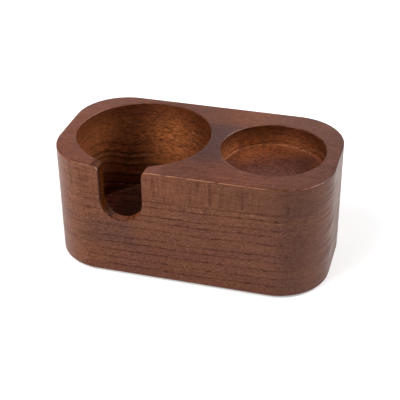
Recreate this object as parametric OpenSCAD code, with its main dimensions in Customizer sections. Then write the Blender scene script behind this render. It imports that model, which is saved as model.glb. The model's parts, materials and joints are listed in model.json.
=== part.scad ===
// Espresso tamping station: one milled hardwood block with a portafilter well, a tamper well
// and a handle slot, standing on four rubber feet.
// Frame: Z up, the feet stand on Z = 0, the block is centred on X and Y, the slot faces -Y.

/* [Block] */
// Overall length of the block, along X
block_l = 165; // [160:1:220]
// Overall width of the block, front to back along Y
block_w = 90; // [88:1:130]
// Height of the wood, from its underside to the top face
block_h = 71; // [60:1:110]
// Radius of the four vertical corners
corner_r = 31; // [16:1:40]
// Radius of the eased edges round the top, the underside and the mouth of the slot
edge_r = 1; // [0.5:0.1:2]
// Wood between each well and its end of the block, on the centre line
end_wall = 8; // [6:0.5:12]

/* [Portafilter well] */
// Diameter of the deep well
deep_d = 80; // [64:0.5:82]
// Wood left under the deep well
deep_floor = 10; // [7:0.5:16]

/* [Tamper well] */
// Diameter of the shallow well
shallow_d = 61; // [50:0.5:62]
// Depth of the shallow well
shallow_depth = 14; // [6:0.5:30]

/* [Wells] */
// Radius of the eased rim of both wells
rim_r = 0.8; // [0.4:0.1:1.5]
// Radius where the wall of a well runs into its floor
floor_r = 1.5; // [0.5:0.1:4]

/* [Handle slot] */
// Width of the slot, which ends below in a half circle
slot_w = 25; // [18:0.5:34]
// Depth of the slot below the top face
slot_depth = 34; // [26:0.5:42]
// Radius of the rounded shoulders at the top of the slot
shoulder_r = 4.5; // [3:0.5:8]

/* [Feet] */
// Diameter of a rubber foot
foot_d = 12; // [8:0.5:16]
// Full height of a foot, from its seat to the ground
foot_h = 3; // [2.5:0.1:5]
// How far a foot stands out below the wood
foot_proud = 1; // [0.5:0.1:2]
// Radius of the eased lower edge of a foot
foot_edge_r = 0.4; // [0.2:0.1:0.5]
// Gap between a foot and the side of its counterbore
foot_gap = 0.1; // [0.05:0.05:0.4]
// Wood between a counterbore and the corner of the block
foot_margin = 7; // [4:0.5:9]

/* [Hidden] */
$fn = 96;
walnut = [0.45, 0.29, 0.23];
rubber = [0.12, 0.12, 0.12];
// How far a cutter runs past the face that it opens
over = 2;

under_z = foot_proud;
top_z = under_z + block_h;
corner_x = block_l / 2 - corner_r;
corner_y = block_w / 2 - corner_r;
front_y = -block_w / 2;

deep_x = end_wall + deep_d / 2 - block_l / 2;
deep_depth = block_h - deep_floor;
shallow_x = block_l / 2 - end_wall - shallow_d / 2;

// Straight stretch of the slot's walls, between its half circle and its shoulders
slot_straight = slot_depth - slot_w / 2 - shoulder_r;
slot_round_z = top_z - slot_depth + slot_w / 2;

// The feet lie on the diagonals of the corner arcs
foot_bore_r = foot_d / 2 + foot_gap;
foot_reach = (corner_r - foot_margin - foot_bore_r) * sin(45);
foot_x = corner_x + foot_reach;
foot_y = corner_y + foot_reach;

// Upright section of the block, with its corners eased, centred on the origin
module eased_section(width) {
    straight_w = width - 2 * edge_r;
    straight_h = block_h - 2 * edge_r;
    square([width, straight_h], center = true);
    square([straight_w, block_h], center = true);
    for (sx = [-1, 1], sy = [-1, 1])
        translate([sx * straight_w / 2, sy * straight_h / 2])
            circle(edge_r);
}

// Quarter of a turned post, for the vertical corner that points to the angle given
module corner_post(angle) {
    rotate([0, 0, angle - 45])
        rotate_extrude(angle = 90)
            intersection() {
                eased_section(2 * corner_r);
                translate([0, -block_h / 2])
                    square([corner_r, block_h]);
            }
}

// The uncut block: two slabs that cross, and a post in each of the four corners
module blank() {
    translate([0, 0, under_z + block_h / 2]) {
        rotate([90, 0, 90])
            linear_extrude(2 * corner_x, center = true)
                eased_section(block_w);
        rotate([90, 0, 0])
            linear_extrude(2 * corner_y, center = true)
                eased_section(block_l);
        for (sx = [-1, 1], sy = [-1, 1])
            translate([sx * corner_x, sy * corner_y, 0])
                corner_post(atan2(sy, sx));
    }
}

// Half section of a well with the top face at height 0: a flared rim and a rounded floor edge
module well_section(r, depth) {
    translate([0, floor_r - depth])
        square([r, depth - floor_r + over]);
    translate([0, -depth])
        square([r - floor_r, depth]);
    translate([r - floor_r, floor_r - depth])
        circle(floor_r);
    difference() {
        translate([0, -rim_r])
            square([r + rim_r, rim_r + over]);
        translate([r + rim_r, -rim_r])
            circle(rim_r);
    }
}

module well(x, d, depth) {
    translate([x, 0, top_z])
        rotate_extrude()
            well_section(d / 2, depth);
}

// The slot seen from the front, with the centre of its half circle on the origin
module slot_outline() {
    circle(slot_w / 2);
    translate([-slot_w / 2, 0])
        square([slot_w, slot_straight + shoulder_r + over]);
    difference() {
        translate([-slot_w / 2 - shoulder_r, slot_straight])
            square([slot_w + 2 * shoulder_r, shoulder_r + over]);
        for (side = [-1, 1])
            translate([side * (slot_w / 2 + shoulder_r), slot_straight])
                circle(shoulder_r);
    }
}

// Section of what is cut to ease an edge of the slot: its wall lies at x = 0 and the front face at y = 0
module mouth_section() {
    difference() {
        translate([-over, -over])
            square(edge_r + over);
        translate([edge_r, edge_r])
            circle(edge_r);
    }
}

// The mouth's eased edge: round the half circle, up both walls and over both shoulders
module slot_mouth() {
    rotate([-90, 0, 0])
        rotate_extrude(angle = 180)
            translate([slot_w / 2, 0])
                mouth_section();
    for (side = [0, 1])
        mirror([side, 0, 0])
            translate([slot_w / 2, 0, 0]) {
                linear_extrude(slot_straight)
                    mouth_section();
                translate([shoulder_r, 0, slot_straight])
                    rotate([-90, 180, 0])
                        rotate_extrude(angle = 90)
                            translate([shoulder_r, 0])
                                mirror([1, 0])
                                    mouth_section();
            }
}

// The slot runs from the middle of the deep well out through the front wall
module slot() {
    translate([deep_x, front_y, slot_round_z]) {
        rotate([90, 0, 0])
            translate([0, 0, front_y])
                linear_extrude(over - front_y)
                    slot_outline();
        slot_mouth();
    }
}

module at_foot(sx, sy) {
    translate([sx * foot_x, sy * foot_y, 0])
        children();
}

module block() {
    color(walnut)
        difference() {
            blank();
            well(deep_x, deep_d, deep_depth);
            well(shallow_x, shallow_d, shallow_depth);
            slot();
            for (sx = [-1, 1], sy = [-1, 1])
                at_foot(sx, sy)
                    cylinder(r = foot_bore_r, h = foot_h);
        }
}

module foot(sx, sy) {
    color(rubber)
        at_foot(sx, sy)
            rotate_extrude() {
                translate([0, foot_edge_r])
                    square([foot_d / 2, foot_h - foot_edge_r]);
                square([foot_d / 2 - foot_edge_r, foot_h]);
                translate([foot_d / 2 - foot_edge_r, foot_edge_r])
                    circle(foot_edge_r);
            }
}

block();
foot(-1, -1);  // foot_front_left
foot(1, -1);  // foot_front_right
foot(-1, 1);  // foot_rear_left
foot(1, 1);  // foot_rear_right
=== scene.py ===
import json
import math
from functools import reduce
from types import SimpleNamespace

import bpy
from mathutils import Matrix, Vector


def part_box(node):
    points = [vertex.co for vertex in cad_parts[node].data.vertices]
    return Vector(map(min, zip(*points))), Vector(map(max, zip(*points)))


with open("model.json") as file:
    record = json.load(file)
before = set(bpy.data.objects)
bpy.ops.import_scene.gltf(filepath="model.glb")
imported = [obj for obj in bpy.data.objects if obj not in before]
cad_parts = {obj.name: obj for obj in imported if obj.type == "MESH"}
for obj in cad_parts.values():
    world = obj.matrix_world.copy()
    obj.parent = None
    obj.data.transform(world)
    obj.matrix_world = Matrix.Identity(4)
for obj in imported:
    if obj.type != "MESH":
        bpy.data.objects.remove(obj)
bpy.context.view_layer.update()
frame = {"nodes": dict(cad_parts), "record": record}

MM = 0.001
BLOCK = "block"
FEET = [name for name in frame["nodes"] if name.startswith("foot_")]
MOUNTS = {mount["name"]: mount for mount in frame["record"]["mounts"]}

# Camera: the photograph's viewpoint, solved from the block's outline and the rims of its wells
CAMERA_AZIMUTH = 16.0
CAMERA_ELEVATION = 31.8
CAMERA_ROLL = -0.5
CAMERA_DISTANCE = 0.605
CAMERA_AIM = Vector((0, 0, 0.034))
CAMERA_PAN_RIGHT = -0.0003
CAMERA_PAN_UP = -0.003
CAMERA_LENS = 89.8
SENSOR_WIDTH = 36.0

# Studio
FLOOR_SIZE = 24.0
FLOOR_COLOR = (0.85, 0.85, 0.85, 1)
# Glow of the floor at the block and far from it, and how far from the middle each is reached
FLOOR_GLOW = (0.37, 1.0)
GLOW_REACH = (0.22, 0.90)
# Strength of the world as plain light, in reflections, and in reflections of the horizon
SKY = 0.14
SKY_GLOSS = 0.10
HORIZON_GLOSS = 0.25
HORIZON_BAND = (0.12, 0.02)
LAMP_DISTANCE = 1.3
# name: azimuth, elevation, size in metres, power in watts
LAMPS = {
    "key": (-47, 54, 0.6, 11.5),
    "front": (-32, 35, 0.6, 4.0),
    "rear_right": (120, 37, 0.6, 13.0),
    "rear_left": (-150, 15, 0.6, 1.0),
    "rear": (180, 18, 0.6, 1.2),
}


def direction(azimuth, elevation):
    """Unit vector from the object towards a viewer at these angles, in degrees; azimuth 0 is the front."""
    a, e = math.radians(azimuth), math.radians(elevation)
    return Vector((math.sin(a) * math.cos(e), -math.cos(a) * math.cos(e), math.sin(e)))


def add_object(name, data):
    thing = bpy.data.objects.new(name, data)
    bpy.context.scene.collection.objects.link(thing)
    return thing


def make_camera():
    back = direction(CAMERA_AZIMUTH, CAMERA_ELEVATION)
    right = Vector((0, 0, 1)).cross(back).normalized()
    up = back.cross(right)
    turn = Matrix.Rotation(math.radians(CAMERA_ROLL), 3, back)
    right, up = turn @ right, turn @ up
    place = CAMERA_AIM + back * CAMERA_DISTANCE + right * CAMERA_PAN_RIGHT + up * CAMERA_PAN_UP
    data = bpy.data.cameras.new("camera")
    data.sensor_width = SENSOR_WIDTH
    data.lens = CAMERA_LENS
    camera = add_object("camera", data)
    camera.matrix_world = Matrix.Translation(place) @ Matrix((right, up, back)).transposed().to_4x4()
    bpy.context.scene.camera = camera


class Nodes:
    """A node tree being built. Each call adds a node and returns the socket that the next one reads."""

    def __init__(self, tree):
        self.tree = tree
        tree.nodes.clear()

    def add(self, kind, **settings):
        node = self.tree.nodes.new(kind)
        for name, value in settings.items():
            setattr(node, name, value)
        return node

    def feed(self, socket, value):
        if isinstance(value, bpy.types.NodeSocket):
            self.tree.links.new(value, socket)
        else:
            socket.default_value = value

    def math(self, operation, *values):
        node = self.add("ShaderNodeMath", operation=operation)
        for socket, value in zip(node.inputs, values):
            self.feed(socket, value)
        return node.outputs[0]

    def plus(self, *values):
        return reduce(lambda a, b: self.math("ADD", a, b), values)

    def times(self, *values):
        return reduce(lambda a, b: self.math("MULTIPLY", a, b), values)

    def minus(self, a, b):
        return self.math("SUBTRACT", a, b)

    def least(self, *values):
        return reduce(lambda a, b: self.math("MINIMUM", a, b), values)

    def most(self, *values):
        return reduce(lambda a, b: self.math("MAXIMUM", a, b), values)

    def size(self, value):
        return self.math("ABSOLUTE", value)

    def weighted(self, base, *terms):
        """base and what each (value, weight) adds to it."""
        return self.plus(base, *[self.times(value, weight) for value, weight in terms])

    def outside(self, mask):
        """1 where the mask is 0, and 0 where it is 1."""
        return self.minus(1.0, mask)

    def without(self, mask, strength):
        """1 where the mask is 0, and 1 less strength where it is 1."""
        return self.outside(self.times(mask, strength))

    def smooth(self, value, low, high):
        """0 at low, 1 at high, with a smooth step between them."""
        node = self.add("ShaderNodeMapRange", interpolation_type="SMOOTHSTEP", clamp=True)
        rising = low < high
        self.feed(node.inputs["Value"], value)
        node.inputs["From Min"].default_value = min(low, high)
        node.inputs["From Max"].default_value = max(low, high)
        node.inputs["To Min"].default_value = 0.0 if rising else 1.0
        node.inputs["To Max"].default_value = 1.0 if rising else 0.0
        return node.outputs["Result"]

    def between(self, value, start, full, fade, end):
        """1 from full to fade, and 0 before start and after end."""
        return self.times(self.smooth(value, start, full), self.smooth(value, end, fade))

    def nearest(self, value, marks):
        """How far value is from the nearest of the marks."""
        return self.least(*[self.size(self.minus(value, mark)) for mark in marks])

    def near(self, value, marks, outer, inner):
        """1 within inner of a mark and 0 beyond outer. marks is one place or a tuple of places."""
        places = marks if isinstance(marks, tuple) else (marks,)
        return self.smooth(self.nearest(value, places), outer, inner)

    def profile(self, value, stops):
        """A level from 0 to 1 read off (place, level) stops, which run upwards; straight lines join them."""
        low, high = stops[0][0], stops[-1][0]
        places = [(place - low) / (high - low) for place, _ in stops]
        ramp = self.add("ShaderNodeValToRGB")
        elements = ramp.color_ramp.elements
        for place in places[1:-1]:
            elements.new(place)
        for element, place, (_, level) in zip(elements, places, stops):
            element.position = place
            element.color = (level, level, level, 1)
        self.feed(ramp.inputs["Fac"], self.math("DIVIDE", self.minus(value, low), high - low))
        return self.split(ramp.outputs["Color"])[0]

    def vector(self, operation, *values):
        node = self.add("ShaderNodeVectorMath", operation=operation)
        for socket, value in zip(node.inputs, values):
            self.feed(socket, value)
        return node.outputs["Value" if operation == "LENGTH" else "Vector"]

    def scaled(self, vector, level):
        node = self.add("ShaderNodeVectorMath", operation="SCALE")
        self.feed(node.inputs[0], vector)
        self.feed(node.inputs["Scale"], level)
        return node.outputs[0]

    def split(self, vector):
        node = self.add("ShaderNodeSeparateXYZ")
        self.feed(node.inputs[0], vector)
        return node.outputs

    def join(self, x, y, z):
        node = self.add("ShaderNodeCombineXYZ")
        for socket, value in zip(node.inputs, (x, y, z)):
            self.feed(socket, value)
        return node.outputs[0]

    def mix(self, factor, a, b):
        node = self.add("ShaderNodeMix", data_type="RGBA")
        for index, value in ((0, factor), (6, a), (7, b)):
            self.feed(node.inputs[index], value)
        return node.outputs[2]

    def stretch(self, point, size):
        """point measured in steps of size, a length for each axis in millimetres."""
        return self.vector("MULTIPLY", point, tuple(1 / length for length in size))

    def noise(self, point, size, detail=2.0, roughness=0.5):
        """Smooth noise from 0 to 1, about size millimetres from one lump to the next along each axis."""
        node = self.add("ShaderNodeTexNoise", noise_dimensions="3D")
        self.feed(node.inputs["Vector"], self.stretch(point, size))
        node.inputs["Scale"].default_value = 1.0
        node.inputs["Detail"].default_value = detail
        node.inputs["Roughness"].default_value = roughness
        return node.outputs["Fac"]

    def patches(self, point, size, low, high, detail=2.0, roughness=0.5):
        """Soft patches: 1 where the noise of this size is over high, and 0 where it is under low."""
        return self.smooth(self.noise(point, size, detail, roughness), low, high)

    def sway(self, point, size, reach, detail=1.0):
        """Noise as a shift of up to about reach millimetres either way."""
        return self.times(self.minus(self.noise(point, size, detail), 0.5), 2 * reach)

    def specks(self, point, size, inner, outer, chance):
        """Scattered grains, 1 inside each. chance is the share of the cells of this size that hold one."""
        cells = self.add("ShaderNodeTexVoronoi", feature="F1", distance="EUCLIDEAN")
        self.feed(cells.inputs["Vector"], self.stretch(point, size))
        cells.inputs["Scale"].default_value = 1.0
        draw = self.add("ShaderNodeSeparateColor")
        self.feed(draw.inputs[0], cells.outputs["Color"])
        there = self.math("LESS_THAN", draw.outputs[0], chance)
        return self.times(self.smooth(cells.outputs["Distance"], outer, inner), there)


def new_material(name):
    material = bpy.data.materials.new(name)
    material.use_nodes = True
    return material, Nodes(material.node_tree)


def millimetres(n, coords):
    """The point on the object in millimetres, in its own axes."""
    return n.vector("MULTIPLY", coords.outputs["Object"], (1 / MM,) * 3)


def finish_surface(n, color, roughness, height, depth, **settings):
    """Ends a material: a Principled surface with colour, roughness and a bump of height times depth."""
    bump = n.add("ShaderNodeBump")
    bump.inputs["Strength"].default_value = 1.0
    bump.inputs["Distance"].default_value = depth
    n.feed(bump.inputs["Height"], height)
    surface = n.add("ShaderNodeBsdfPrincipled")
    n.feed(surface.inputs["Base Color"], color)
    n.feed(surface.inputs["Roughness"], roughness)
    n.feed(surface.inputs["Normal"], bump.outputs[0])
    for name, value in settings.items():
        surface.inputs[name.replace("_", " ")].default_value = value
    output = n.add("ShaderNodeOutputMaterial")
    n.tree.links.new(surface.outputs[0], output.inputs["Surface"])


def well_place(mount):
    """Where the axis of a well stands along X, and its radius, in millimetres."""
    return round(MOUNTS[mount]["pos_m"][0] / MM, 2), MOUNTS[mount]["dims"]["r_mm"]


# The block's own sizes, in millimetres like all lengths in the wood
BLOCK_LOW, BLOCK_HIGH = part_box(BLOCK)
TOP = round(BLOCK_HIGH.z / MM, 2)
FRONT = round(BLOCK_LOW.y / MM, 2)
DEEP_WELL = well_place("portafilter_well")
SHALLOW_WELL = well_place("tamper_well")
SLOT_HALF = 12.5
SLOT_DEPTH = 34.0
EDGE = 1.0
# Depth of the wood's relief, in metres, and its gloss
WOOD_RELIEF = 0.05 * MM
WOOD_GLOSS = 0.22

# Colours of the wood
OUTER_RED = (0.142, 0.042, 0.0195, 1)
OUTER_TAN = (0.168, 0.053, 0.0200, 1)
OUTER_AMBER = (0.168, 0.036, 0.0050, 1)
CLOUD_BROWN = (0.080, 0.029, 0.0200, 1)
TOP_BROWN = (0.125, 0.036, 0.0170, 1)
TOP_PURPLE = (0.072, 0.024, 0.0190, 1)
TOP_WARM = (0.160, 0.045, 0.0150, 1)
# Lit and shaded colours of the well walls, between which their painted light and shade moves
WELL_LIT_GOLD = (0.400, 0.125, 0.0400, 1)
WELL_SHADED_DARK = (0.090, 0.020, 0.0055, 1)
# Redder colour of the shallow floor where painted light falls
FLOOR_LIT_RED = (0.210, 0.058, 0.0180, 1)
FLOOR_BROWN = (0.088, 0.027, 0.0170, 1)
SLOT_BROWN = (0.078, 0.018, 0.0010, 1)
# Painted shade by the slot's mouth and low on its left, and painted light on its lower right
SLOT_MOUTH_SHADE = (0.060, 0.014, 0.0060, 1)
SLOT_LOW_SHADE = (0.060, 0.0155, 0.0050, 1)
SLOT_LIT_ORANGE = (0.155, 0.038, 0.0080, 1)
# Dark of the pores, also used for the painted shade line along the right edge
PORE_AND_SHADE_COLOR = (0.022, 0.009, 0.007, 1)
# Pale colour of the flecks and the pale lines; in the shallow well it also paints a highlight
FLECK_AND_HIGHLIGHT_COLOR = (0.340, 0.160, 0.080, 1)
# Pale colour of the front edge: partly wear, partly a painted highlight
WORN_AND_HIGHLIGHT_COLOR = (0.480, 0.210, 0.105, 1)
# Pinkish colour of the painted highlights on the rims, along the front right corner and of the glint by the
# slot
EDGE_HIGHLIGHT_COLOR = (0.420, 0.240, 0.180, 1)
# How much more than red the green and the blue of the outer wood follow its grain
GREEN_DEPTH = 0.45
BLUE_DEPTH = 1.40

# Heights of the growth layers' pore rows above the ground, at the middle of the front
ROWS = (6.6, 11.6, 17.2, 22.8, 26.9, 34.2, 39.9, 43.8, 49.9, 53.7, 59.0, 64.2)
# Lower end of the milled band on the front and back, and the places of its upright marks along X
MILL_FOOT = 54.5
MILL_MARKS = (-65.7, -59.0, -54.0, -15.0, -9.0, 0.4, 7.0, 11.0, 18.4, 24.8, 36.4, 62.0)
# The two marks that are cut deeper than the others
DEEP_MARKS = (18.4, 36.4)
# Middle of the web between the wells, of the glint by the slot and of each cloud of colour, along X
WEB_MIDDLE = 9
GLINT_MIDDLE = -48.8
BROWN_CLOUD = -42
LIGHT_CLOUD = -12
WARM_CLOUD = 20
BROWN_CLOUD_HEIGHT = 28

# Levels along X, as (place, level): painted light and shade on the walls of the deep well, of the shallow one
# and on the outside, and lighter and darker on top
DEEP_WELL_PAINTED_LIGHT = (
    (-75, 0.55), (-71, 0.80), (-62, 0.62), (-54, 0.28), (-47, 0.42), (-40, 0.80), (-27, 1.0), (-19, 0.58),
    (-8, 0.16), (4, 0.0),
)
SHALLOW_WELL_PAINTED_LIGHT = (
    (14, 0.90), (17, 1.0), (26, 0.85), (34, 0.50), (40, 0.45), (50, 0.60), (58, 0.32), (66, 0.18),
    (75, 0.10),
)
OUTER_PAINTED_LIGHT = (
    (-83, 0.70), (-70, 1.0), (-50, 0.80), (-20, 0.62), (30, 0.50), (52, 0.38), (60, 0.06), (66, 0.04),
    (74, 0.42), (83, 0.20),
)
TOP_FIGURE = (
    (-83, 0.90), (-64, 0.74), (-46, 0.42), (0, 0.22), (8, 0.15), (20, 0.45), (42, 0.48), (58, 0.16),
    (83, 0.02),
)
# How much of the painted light on the wells' walls shows, as (height, level); it fades to painted shade under
# the rims and low in the deep well
DEEP_WELL_LIGHT_BY_HEIGHT = (
    (10, 0.12), (18, 0.26), (27, 0.66), (38, 1.0), (52, 0.95), (59, 0.76), (66, 0.34), (72, 0.12),
)
SHALLOW_WELL_LIGHT_BY_HEIGHT = ((57, 1.0), (61, 1.0), (65, 0.62), (70, 0.14), (72, 0.03))
# Painted light on the deep well's floor along X, as (place, level)
DEEP_FLOOR_PAINTED_LIGHT = ((-76, 1.0), (-62, 0.74), (-57, 0.42), (-52, 0.18), (-46, 0.03), (-40, 0.0))
# Heights of the wavy lines low in the deep well, at its left end
PALE_WAVES = (20.6, 30.4, 37.5, 42.2)
DARK_WAVES = (16.5, 21.9, 28.0, 35.4, 40.4, 44.4, 50.5)
# Heights of the streaks at the deep well's right end where they start along X, and how steeply they rise
PALE_STREAKS = (56.4, 51.2)
STREAK_START = -16
STREAK_SLOPE = 0.17
# Pale lines of the shallow well: one climbs to the right, from its height at x = 0, and one runs level, a
# painted highlight round the foot of its wall
CLIMB_HEIGHT = 37.3
CLIMB_SLOPE = 0.38
FOOT_HIGHLIGHT = 58.9
# Places along Y of the growth lines across the deep well's floor
FLOOR_PALE_LINE = 21.5
FLOOR_DARK_LINES = (25.6, 16.2)

# Rubber of the feet
RUBBER_BLACK = (0.012, 0.012, 0.013, 1)
RUBBER_GREY = (0.030, 0.029, 0.028, 1)
RUBBER_RELIEF = 0.03 * MM


def read_place(n):
    """Coordinates in millimetres and the way that the surface faces. The masks join them later."""
    coords = n.add("ShaderNodeTexCoord")
    at = SimpleNamespace(point=millimetres(n, coords))
    at.x, at.y, at.z = n.split(at.point)
    at.face_x, at.face_y, at.face_z = n.split(coords.outputs["Normal"])
    return at


def from_axis(n, at, x):
    """Distance in plan from the upright axis at x on the centre line."""
    offset = n.vector("SUBTRACT", at.point, (x, 0, 0))
    return n.vector("LENGTH", n.vector("MULTIPLY", offset, (1, 1, 0)))


def mark_wells(n, at):
    """Masks from 0 to 1 for each well, for the walls, the floors and the curves that join them."""

    def inside(x, radius):
        plan = n.smooth(from_axis(n, at, x), radius + 0.9, radius + 0.3)
        return n.times(plan, n.smooth(at.z, TOP - 0.1, TOP - 0.5))

    at.deep = n.times(inside(*DEEP_WELL), n.smooth(at.z, 5, 8))
    at.shallow = n.times(inside(*SHALLOW_WELL), n.smooth(at.z, 50, 54))
    at.well = n.most(at.deep, at.shallow)
    at.floor = n.times(at.well, n.smooth(at.face_z, 0.6, 0.95))
    at.walls = n.times(at.well, n.outside(at.floor))
    curve = n.between(at.face_z, 0.10, 0.35, 0.90, 0.98)
    at.floor_curve = n.times(at.well, curve, n.smooth(at.z, 62.0, 60.5))


def mark_slot(n, at):
    """Masks for the handle slot, for the parts of it that differ in tone, and for its two shoulders."""
    off_middle = n.size(n.minus(at.x, DEEP_WELL[0]))
    width = n.smooth(off_middle, SLOT_HALF + EDGE + 0.2, SLOT_HALF + EDGE)
    foot = TOP - SLOT_DEPTH - EDGE
    passage = n.times(width, n.smooth(at.y, -30, -32), n.smooth(at.z, foot - 0.4, foot - 0.1))
    below_top = n.smooth(n.plus(at.z, at.face_z), TOP - 0.8, TOP - 2.5)
    at.slot = n.times(passage, n.smooth(at.face_y, -0.96, -0.88), below_top)
    at.slot_left = n.times(at.slot, n.smooth(at.face_x, 0.3, 0.7))
    mouth = n.times(n.smooth(at.y, FRONT + 3.2, FRONT + 2.2), n.smooth(at.face_x, -0.2, 0.2))
    at.slot_mouth = n.times(at.slot, mouth, n.smooth(at.z, 44, 52))
    at.slot_low = n.times(at.slot, n.smooth(at.face_x, -0.35, -0.15), n.smooth(at.face_z, 0.45, 0.75))
    at.slot_bottom = n.times(at.slot_low, n.smooth(at.face_z, 0.78, 0.97))
    at.slot_right = n.times(at.slot, n.smooth(at.face_x, -0.1, -0.5), n.smooth(at.z, 50, 45))
    beside = n.times(n.smooth(off_middle, SLOT_HALF - 0.3, SLOT_HALF + 0.3), n.smooth(at.z, 67, 68))
    shoulders = n.times(beside, n.smooth(at.y, -30, -33), n.smooth(at.face_y, -0.9, -0.7))
    at.left_shoulder = n.times(shoulders, n.between(at.x, -53, -51, -44, -40))
    at.right_shoulder = n.times(shoulders, n.between(at.x, -29, -25, -16, -9))


def mark_outside(n, at):
    """Masks for the outer faces, for what is cut into them, and for the web between the wells."""
    at.cut = n.most(at.well, at.slot)
    at.outer = n.outside(at.cut)
    at.top = n.times(n.smooth(at.face_z, 0.5, 0.9), n.smooth(at.z, TOP - 1.0, TOP - 0.4))
    at.web = n.times(at.top, n.near(at.x, WEB_MIDDLE, 16, 5), n.near(at.y, 0, 34, 12))
    at.side = n.smooth(n.size(at.face_y), 0.60, 0.95)
    at.upright = n.smooth(n.size(at.face_z), 0.5, 0.2)
    at.end = n.times(n.smooth(n.size(at.x), 60, 74), at.upright)


def mark_edges(n, at):
    """Masks for the eased edges round the top, where wear, painted highlights and a painted shade line go,
    and for the painted glint on the left shoulder of the slot.
    """

    def rear_left_rim(x, radius):
        ring = n.between(from_axis(n, at, x), radius - 0.2, radius, radius + 0.6, radius + 0.9)
        return n.times(ring, n.smooth(n.minus(at.y, n.minus(at.x, x)), 0.9 * radius, 1.3 * radius))

    eased = n.times(n.smooth(at.z, TOP - 1.1, TOP - 0.9), n.between(at.face_z, 0.38, 0.52, 0.80, 0.92))
    at.front_edge = n.times(eased, n.smooth(at.y, -20, -26), n.smooth(at.face_y, -0.16, -0.26))
    # Where the painted shade line along the right end's top edge goes
    at.right_edge = n.times(eased, n.smooth(at.face_x, 0.25, 0.45), n.smooth(at.x, 77, 79.5))
    at.rim = n.times(eased, n.most(rear_left_rim(*DEEP_WELL), rear_left_rim(*SHALLOW_WELL)))
    glint = n.times(n.between(at.face_y, -0.92, -0.80, -0.50, -0.35), n.near(at.z, TOP - 2.0, 1.2, 0.6))
    at.glint = n.times(glint, n.near(at.x, GLINT_MIDDLE, 2.0, 1.2), n.smooth(at.y, -30, -40))


def grow_layers(n, at):
    """The growth layers, which lie almost flat and wave a little, and the masks that follow them."""
    rise = n.times(n.smooth(at.x, -5, 55), 1.7)
    dip = n.times(n.smooth(at.x, -75, -54), n.smooth(at.z, 60, 38), at.deep, 7.0)
    calm = n.without(n.most(at.well, at.end), 0.75)
    ripple = n.times(n.sway(at.point, (8, 8, 4), 0.55, detail=3.0), calm)
    wave = n.plus(n.sway(at.point, (45, 40, 30), 0.8), ripple)
    at.layer = n.plus(n.minus(at.z, rise), dip, wave)
    at.bent = n.join(at.x, at.y, at.layer)
    at.off_row = n.nearest(at.layer, ROWS)
    at.upper = n.smooth(at.layer, MILL_FOOT, MILL_FOOT + 1.0)
    at.milled = n.times(at.upper, at.side, at.outer)


def mark_rows(n, at):
    """How strongly the rows of pores show from place to place."""
    at.well_rows = n.times(at.well, n.most(n.smooth(at.x, -66, -54), at.shallow))
    inwards = n.weighted(0.25, (n.smooth(n.size(at.x), 66, 54), 0.75))
    left = n.times(n.smooth(at.x, -44, -52), at.outer)
    patchy = n.patches(at.point, (16, 14, 3.0), 0.25, 0.50)
    shown = n.times(patchy, n.without(n.times(at.upper, at.outer), 0.75), n.most(inwards, at.well_rows))
    at.rows = n.times(shown, n.without(left, 0.60), n.without(at.well, 0.35))


def draw_pores(n, at):
    """Open pores: short dark dashes, most of them in rows."""
    many = n.times(n.smooth(at.off_row, 1.2, 0.3), at.rows)
    loose = n.times(at.well_rows, n.patches(at.point, (14, 14, 6), 0.40, 0.60), n.outside(at.floor))
    long_chance = n.weighted(0.004, (many, 0.70))
    short_chance = n.weighted(0.04, (many, 0.35), (loose, 0.18))
    long_pores = n.specks(at.bent, (5.0, 1.8, 0.9), 0.20, 0.50, long_chance)
    short_pores = n.specks(at.bent, (2.6, 1.4, 0.75), 0.15, 0.45, short_chance)
    return n.most(long_pores, n.times(short_pores, 0.8))


def draw_flecks(n, at):
    """Pale flecks beside the upper rows of the front and back."""
    height = n.times(n.smooth(at.layer, 38, 42), n.outside(at.upper))
    beside = n.times(n.between(at.off_row, 0.5, 0.9, 1.6, 2.6), height, at.side)
    chance = n.times(beside, n.patches(at.point, (30, 20, 6), 0.40, 0.56), 0.65)
    return n.specks(at.bent, (4.0, 1.6, 0.8), 0.15, 0.48, chance)


def draw_end_lines(n, at):
    """Fine level lines on both ends."""
    left = n.times(n.smooth(at.x, -66, -80), n.weighted(0.4, (n.smooth(at.y, -24, 0), 0.4)))
    lines = n.patches(at.bent, (40, 40, 1.1), 0.50, 0.62, detail=1.0, roughness=0.6)
    return n.times(lines, at.end, n.plus(n.smooth(at.x, 72, 82), left))


def draw_left_lines(n, at):
    """Level lines on the front to the left of the slot."""
    left = n.times(n.smooth(at.x, -47, -56), n.smooth(at.y, 0, -20), at.outer, at.upright)
    return n.times(n.patches(at.bent, (30, 30, 1.5), 0.50, 0.60, detail=1.0, roughness=0.6), left)


def draw_mill_marks(n, at):
    """Upright marks and a fine weave on the upper part of the front and back."""
    marks = n.near(n.plus(at.x, n.sway(at.point, (30, 30, 12), 0.8)), MILL_MARKS, 1.6, 0.0)
    marks = n.times(marks, n.patches(at.point, (6, 9, 9), 0.36, 0.62, detail=1.0))
    deep = n.times(n.near(at.x, DEEP_MARKS, 1.7, 0.0), n.smooth(at.z, 56, 59))
    marks = n.weighted(marks, (deep, 0.6))
    warp = n.times(n.patches(at.point, (1.1, 1.1, 9), 0.42, 0.72), n.without(n.smooth(at.x, 40, 56), 0.6))
    weft = n.patches(at.point, (9, 6, 0.8), 0.42, 0.72)
    return n.times(at.milled, n.weighted(-0.13, (marks, 0.30), (warp, 0.25), (weft, 0.24)))


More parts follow.
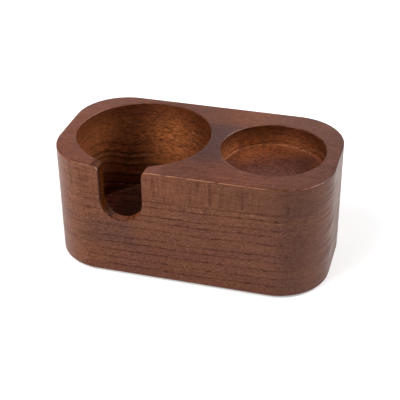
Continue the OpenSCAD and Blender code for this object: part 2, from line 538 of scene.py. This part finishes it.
def draw_grain(n, at):
    """All that is drawn on the wood: rows and pores, flecks, fibres, level lines and mill marks."""
    broken = n.patches(at.point, (4.5, 4.5, 2.2), 0.36, 0.60)
    wall_fibre = n.noise(at.bent, (3.2, 2.9, 0.50), roughness=0.80)
    return SimpleNamespace(
        band=n.times(n.smooth(at.off_row, 0.85, 0.1), at.rows, n.weighted(0.40, (broken, 0.60))),
        pores=draw_pores(n, at),
        flecks=draw_flecks(n, at),
        streak=n.noise(at.bent, (18, 1.9, 1.2), detail=3.0, roughness=0.6),
        fibre=n.mix(at.walls, n.noise(at.bent, (1.9, 1.4, 0.66), roughness=0.80), wall_fibre),
        end_lines=draw_end_lines(n, at),
        left_lines=draw_left_lines(n, at),
        mill_marks=draw_mill_marks(n, at),
    )


def outer_color(n, at):
    """Colour of the front, the ends and the back: red to tan, amber by the front left corner, clouds, and
    painted light and shade along X.
    """
    # Painted light and shade along X: lit towards the left end, shaded just before the right end and lighter
    # again at it; it also moves the colour towards tan
    painted_light = n.profile(at.x, OUTER_PAINTED_LIGHT)
    tint = n.noise(at.point, (40, 22, 8), detail=3.0)
    tint = n.weighted(tint, (n.minus(at.z, TOP / 2), 0.002), (n.minus(painted_light, 0.5), 0.2))
    tan = n.most(n.smooth(tint, 0.36, 0.64), n.times(at.milled, 0.6))
    color = n.mix(tan, OUTER_RED, OUTER_TAN)
    amber = n.times(n.smooth(at.x, -66, -80), n.without(n.smooth(at.y, -24, 8), 0.65))
    color = n.mix(amber, color, OUTER_AMBER)
    color = n.scaled(color, n.weighted(0.80, (painted_light, 0.36)))
    front = n.smooth(at.y, 0, -20)
    level = n.near(n.plus(at.z, at.drift), BROWN_CLOUD_HEIGHT, 14, 4)
    brown = n.times(n.near(at.cloud_x, BROWN_CLOUD, 24, 8), level, front, 0.45)
    color = n.mix(brown, color, CLOUD_BROWN)
    light = n.times(n.near(at.cloud_x, LIGHT_CLOUD, 20, 8), n.smooth(at.z, 46, 56), front)
    dark = n.times(n.smooth(at.x, 16, 28), n.smooth(at.z, 52, 60))
    return n.scaled(color, n.weighted(1.0, (light, 0.09), (dark, -0.08)))


def top_color(n, at):
    """Colour of the top: brown, purple between the wells and warm behind the shallow one."""
    heart = n.patches(at.point, (38, 22, 18), 0.42, 0.66)
    color = n.mix(n.most(n.times(heart, 0.25), at.web), TOP_BROWN, TOP_PURPLE)
    rear = n.times(n.near(at.cloud_x, WARM_CLOUD, 30, 8), n.smooth(at.y, 18, 32))
    color = n.mix(n.times(rear, 0.7), color, TOP_WARM)
    return n.scaled(color, n.weighted(0.82, (n.profile(at.x, TOP_FIGURE), 0.53)))


def well_lines(n, at):
    """Dark waves low in the deep well, and the pale lines of both wells; the level one low in the shallow
    well is a painted highlight.
    """
    sway = n.sway(at.point, (9, 9, 14), 1.0, detail=2.0)
    bent = n.plus(at.z, n.times(n.smooth(at.x, -73, -54), 8.0), sway)
    low = n.times(n.smooth(bent, 58, 46), n.smooth(at.x, -40, -52), n.smooth(at.y, 0, 10), at.deep)
    dark = n.times(n.near(bent, DARK_WAVES, 1.1, 0.2), low)
    waves = n.times(n.near(bent, PALE_WAVES, 1.0, 0.1), low)
    tilted = n.minus(at.z, n.times(n.minus(at.x, STREAK_START), STREAK_SLOPE))
    streaks = n.times(n.near(tilted, PALE_STREAKS, 0.5, 0.15), n.smooth(at.x, -20, -14), at.deep)
    climbing = n.near(at.z, n.weighted(CLIMB_HEIGHT, (at.x, CLIMB_SLOPE)), 0.7, 0.2)
    climbing = n.times(climbing, n.smooth(at.x, 52, 57), n.smooth(at.y, 5, 8), at.shallow)
    # Painted highlight along the foot of the shallow well's wall, at its rear and right
    foot = n.near(n.plus(at.z, n.sway(at.point, (7, 7, 7), 0.5)), FOOT_HIGHLIGHT, 0.5, 0.1)
    foot = n.times(foot, n.smooth(at.y, -6, 4), n.smooth(at.x, 22, 38), at.shallow)
    pale = n.weighted(0.0, (waves, 0.72), (streaks, 0.75), (climbing, 0.42), (foot, 0.30))
    return dark, n.times(pale, n.patches(at.point, (5, 5, 3), 0.36, 0.60))


def well_color(n, at):
    """Colour of the well walls: painted light and shade, from a lit gold to a shaded dark, mottled, with
    lines on it.
    """
    wander = n.plus(at.x, n.sway(at.point, (12, 12, 10), 3.0))
    deep = n.times(n.profile(wander, DEEP_WELL_PAINTED_LIGHT), n.profile(at.z, DEEP_WELL_LIGHT_BY_HEIGHT))
    shallow = n.times(n.profile(wander, SHALLOW_WELL_PAINTED_LIGHT), n.profile(at.z, SHALLOW_WELL_LIGHT_BY_HEIGHT))
    mottle = n.minus(n.noise(at.point, (9, 9, 3)), 0.5)
    lip = n.times(n.smooth(at.x, -64, -73), n.smooth(at.z, 54, 66), at.deep)
    level = n.weighted(0.0, (deep, at.deep), (shallow, at.shallow), (mottle, 0.32), (lip, 0.10))
    color = n.mix(level, WELL_SHADED_DARK, WELL_LIT_GOLD)
    # Painted shade near the top of the shallow well's right wall
    shaded = n.times(at.shallow, n.smooth(at.x, 50, 64), n.smooth(at.z, 61, 67))
    color = n.scaled(color, n.without(shaded, 0.20))
    dark, pale = well_lines(n, at)
    return n.mix(pale, n.scaled(color, n.without(dark, 0.50)), FLECK_AND_HIGHLIGHT_COLOR)


def floor_painted_light(n, at):
    """Painted light and shade on the deep well's floor; 1 on the shallow one's."""
    fine_lines = n.weighted(0.6, (n.patches(at.point, (22, 2.2, 9), 0.35, 0.65), 0.8))
    backwards = n.weighted(0.35, (n.smooth(at.y, -18, -2), 0.65))
    # Painted light towards the left end of the deep floor, more at the rear, and painted shade that darkens
    # the rest by half, a little less towards its right and front
    glow = n.times(n.profile(at.x, DEEP_FLOOR_PAINTED_LIGHT), fine_lines, backwards)
    aside = n.most(n.smooth(at.x, -34, -20), n.smooth(at.y, -5, -20))
    light = n.weighted(1.0, (at.deep, n.weighted(-0.50, (aside, 0.30), (glow, 3.0))))
    line_y = n.plus(at.y, n.sway(at.point, (14, 6, 6), 1.2, detail=2.0))
    pale = n.near(line_y, FLOOR_PALE_LINE, 3.2, 0.8)
    dark = n.times(n.near(line_y, FLOOR_DARK_LINES, 1.8, 0.4), n.smooth(at.x, -62, -57))
    return n.times(light, n.weighted(1.0, (at.deep, n.weighted(0.0, (pale, 0.35), (dark, -0.40)))))


def floor_color(n, at):
    """Colour of the well floors: brown, and redder towards the rear left and the right of the shallow one,
    which is painted light.
    """
    axis = SHALLOW_WELL[0]
    # Painted light on the shallow floor: redder towards its rear left and its right, away from the middle
    rear_left = n.smooth(n.minus(at.y, n.times(n.minus(at.x, axis), 0.5)), 0, 28)
    right = n.times(n.smooth(at.x, 60, 72), 0.6)
    ring = n.times(n.smooth(from_axis(n, at, axis), 5, 30), n.most(rear_left, right), at.shallow)
    mottle = n.minus(n.noise(at.point, (18, 5, 9), detail=3.0), 0.5)
    color = n.mix(n.weighted(ring, (mottle, 0.55)), FLOOR_BROWN, FLOOR_LIT_RED)
    return n.scaled(color, floor_painted_light(n, at))


def slot_color(n, at):
    """Colour of the slot: brown; painted shade makes it darker by the mouth and low on the left, and painted
    light makes it red at the bottom and orange at the lower right.
    """
    low = n.mix(at.slot_bottom, SLOT_LOW_SHADE, OUTER_RED)
    color = n.mix(at.slot_mouth, n.mix(at.slot_low, SLOT_BROWN, low), SLOT_MOUTH_SHADE)
    return n.mix(at.slot_right, color, SLOT_LIT_ORANGE)


def base_color(n, at):
    """Colour of every part of the block before its grain."""
    at.drift = n.sway(at.point, (20, 16, 16), 6.0, detail=2.0)
    at.cloud_x = n.plus(at.x, at.drift)
    color = n.mix(at.top, outer_color(n, at), top_color(n, at))
    color = n.mix(at.well, color, well_color(n, at))
    color = n.mix(at.floor, color, floor_color(n, at))
    return n.mix(at.slot, color, slot_color(n, at))


def grain_level(n, at, grain):
    """How much the grain lightens or darkens the colour, around 1, with painted shade and light on the slot's
    shoulders.
    """
    streaks = n.weighted(0.34, (at.top, 0.6))
    fibres = n.weighted(
        2.6, (at.top, -1.1), (at.cut, 1.2), (at.floor, -0.8), (at.milled, -1.1), (at.end, -0.9)
    )
    level = n.weighted(1.0, (n.minus(grain.streak, 0.5), streaks), (n.minus(grain.fibre, 0.5), fibres))
    level = n.times(level, n.without(grain.band, 0.40), n.outside(grain.mill_marks))
    level = n.times(level, n.without(grain.end_lines, 0.26), n.without(grain.left_lines, 0.24))
    # Painted shade on the slot's left shoulder and painted light on its right shoulder
    level = n.times(level, n.without(at.left_shoulder, 0.45), n.weighted(1.0, (at.right_shoulder, 0.3)))
    return n.most(level, 0.2)


def shade(n, color, level, outer):
    """color times level. On the outer wood green and blue follow the level more than red does."""
    green = n.math("POWER", level, n.weighted(1.0, (outer, GREEN_DEPTH)))
    blue = n.math("POWER", level, n.weighted(1.0, (outer, BLUE_DEPTH)))
    return n.vector("MULTIPLY", color, n.join(level, green, blue))


def wear_and_light_edges(n, at, color):
    """Pale wear and a painted highlight on the front edge, painted highlights on the rims, the front right
    corner and the slot's shoulder, and a dark painted shade line along the right edge.
    """
    # Front edge: pale wear with a painted highlight in it, stronger right of the slot
    patchy = n.patches(at.point, (6, 4, 4), 0.30, 0.50)
    strength = n.weighted(0.25, (n.smooth(at.x, -30, -16), 0.35))
    wear_and_highlight = n.times(at.front_edge, patchy, n.between(at.x, -76, -66, 40, 62), strength)
    color = n.mix(wear_and_highlight, color, WORN_AND_HIGHLIGHT_COLOR)
    # Painted shade: a dark line along the right end's top edge
    color = n.mix(n.times(at.right_edge, 0.75), color, PORE_AND_SHADE_COLOR)
    # Painted highlights: on the rear left of the rims, along the front right corner, and the glint by the
    # slot
    corner = n.times(at.front_edge, n.between(at.x, 60, 65, 77, 79.5))
    corner = n.times(corner, n.patches(at.point, (4, 3, 3), 0.36, 0.56))
    return n.mix(n.most(n.times(at.rim, 0.35), n.times(corner, 0.45), at.glint), color, EDGE_HIGHLIGHT_COLOR)


def wood_color(n, at, grain):
    """The base colour with its grain, then the flecks, the pores, and the wear, painted highlights and
    painted shade on the edges.
    """
    color = shade(n, base_color(n, at), grain_level(n, at, grain), at.outer)
    color = n.mix(n.times(grain.flecks, 0.50), color, FLECK_AND_HIGHLIGHT_COLOR)
    shown = n.times(n.without(at.top, 0.5), n.without(at.well, 0.2))
    shown = n.times(shown, n.without(at.milled, 0.7), n.without(at.end, 0.5))
    color = n.mix(n.times(grain.pores, shown, 0.60), color, PORE_AND_SHADE_COLOR)
    return wear_and_light_edges(n, at, color)


def wood_roughness(n, at, grain):
    """Satin wood: glossier on the slot's left wall, matt low in the slot, on its right shoulder, in pores."""
    low_edge = n.times(at.slot_low, n.smooth(at.y, FRONT + 1.6, FRONT + 0.8))
    matt = n.most(at.slot_right, at.slot_bottom, low_edge)
    shoulder = n.times(at.right_shoulder, n.smooth(at.x, -14, -18))
    drawn = n.weighted(
        0.29, (grain.streak, 0.10), (grain.pores, 0.35), (grain.end_lines, 0.20), (grain.band, 0.2)
    )
    return n.weighted(
        drawn, (at.cut, 0.08), (matt, 0.25), (shoulder, 0.35), (at.slot_left, -0.22), (at.floor_curve, 0.30)
    )


def wood_material():
    """Stained hardwood with its grain along X and its growth layers lying almost flat."""
    material, n = new_material("walnut_stained_wood")
    at = read_place(n)
    for step in (mark_wells, mark_slot, mark_outside, mark_edges, grow_layers, mark_rows):
        step(n, at)
    grain = draw_grain(n, at)
    height = n.weighted(
        0.0, (grain.fibre, 0.7), (grain.streak, 0.4), (grain.pores, -1.2), (grain.end_lines, -0.6)
    )
    color, roughness = wood_color(n, at, grain), wood_roughness(n, at, grain)
    finish_surface(n, color, roughness, height, WOOD_RELIEF, Specular_IOR_Level=WOOD_GLOSS)
    return material


def rubber_material():
    material, n = new_material("foot_rubber")
    point = millimetres(n, n.add("ShaderNodeTexCoord"))
    grain = n.noise(point, (0.5, 0.5, 0.5), detail=3.0, roughness=0.6)
    smear = n.noise(point, (5, 5, 5))
    color = n.mix(smear, RUBBER_BLACK, RUBBER_GREY)
    finish_surface(n, color, n.weighted(0.6, (grain, 0.25)), grain, RUBBER_RELIEF)
    return material


def floor_material():
    """White floor: it glows a little for the eye and in reflections, and keeps the shadow on it."""
    material, n = new_material("floor_white")
    path = n.add("ShaderNodeLightPath")
    seen = n.most(*[path.outputs[f"Is {kind} Ray"] for kind in ("Camera", "Glossy", "Transmission")])
    near, far = FLOOR_GLOW
    away = n.vector("LENGTH", n.add("ShaderNodeTexCoord").outputs["Object"])
    strength = n.weighted(near, (n.smooth(away, *GLOW_REACH), far - near))
    matt = n.add("ShaderNodeBsdfDiffuse")
    matt.inputs["Color"].default_value = FLOOR_COLOR
    glow = n.add("ShaderNodeEmission")
    n.feed(glow.inputs["Strength"], n.times(seen, strength))
    both = n.add("ShaderNodeAddShader")
    n.tree.links.new(matt.outputs[0], both.inputs[0])
    n.tree.links.new(glow.outputs[0], both.inputs[1])
    output = n.add("ShaderNodeOutputMaterial")
    n.tree.links.new(both.outputs[0], output.inputs["Surface"])
    return material


def make_floor():
    mesh = bpy.data.meshes.new("floor")
    half = FLOOR_SIZE / 2
    corners = [(-half, -half, 0), (half, -half, 0), (half, half, 0), (-half, half, 0)]
    mesh.from_pydata(corners, [], [(0, 1, 2, 3)])
    mesh.materials.append(floor_material())
    add_object("floor", mesh)


def make_world():
    """White for the camera, dim as light, and a little brighter at the horizon in reflections."""
    world = bpy.data.worlds.new("studio")
    bpy.context.scene.world = world
    world.use_nodes = True
    n = Nodes(world.node_tree)
    coords = n.add("ShaderNodeTexCoord")
    path = n.add("ShaderNodeLightPath")
    height = n.split(coords.outputs["Generated"])[2]
    mirrored = n.most(path.outputs["Is Glossy Ray"], path.outputs["Is Transmission Ray"])
    low = n.times(n.smooth(height, *HORIZON_BAND), HORIZON_GLOSS - SKY_GLOSS)
    strength = n.weighted(SKY, (mirrored, n.plus(SKY_GLOSS - SKY, low)))
    shade_node = n.add("ShaderNodeBackground")
    shade_node.inputs["Color"].default_value = (1, 1, 1, 1)
    n.feed(shade_node.inputs["Strength"], n.most(path.outputs["Is Camera Ray"], strength))
    output = n.add("ShaderNodeOutputWorld")
    n.tree.links.new(shade_node.outputs[0], output.inputs["Surface"])


def make_lamps():
    for name, (azimuth, elevation, size, power) in LAMPS.items():
        data = bpy.data.lights.new(name, "AREA")
        data.size = size
        data.energy = power
        lamp = add_object(name, data)
        towards = direction(azimuth, elevation)
        lamp.location = CAMERA_AIM + towards * LAMP_DISTANCE
        lamp.rotation_mode = "QUATERNION"
        lamp.rotation_quaternion = towards.to_track_quat("Z", "Y")
        lamp.visible_camera = False


def dress():
    wood, rubber = wood_material(), rubber_material()
    for name, material, slot in [(BLOCK, wood, "wood")] + [(foot, rubber, "foot_rubber") for foot in FEET]:
        node = frame["nodes"][name]
        node.data.materials.clear()
        node.data.materials.append(material)


bpy.context.scene.view_settings.view_transform = "Standard"
make_camera()
make_floor()
make_world()
make_lamps()
dress()
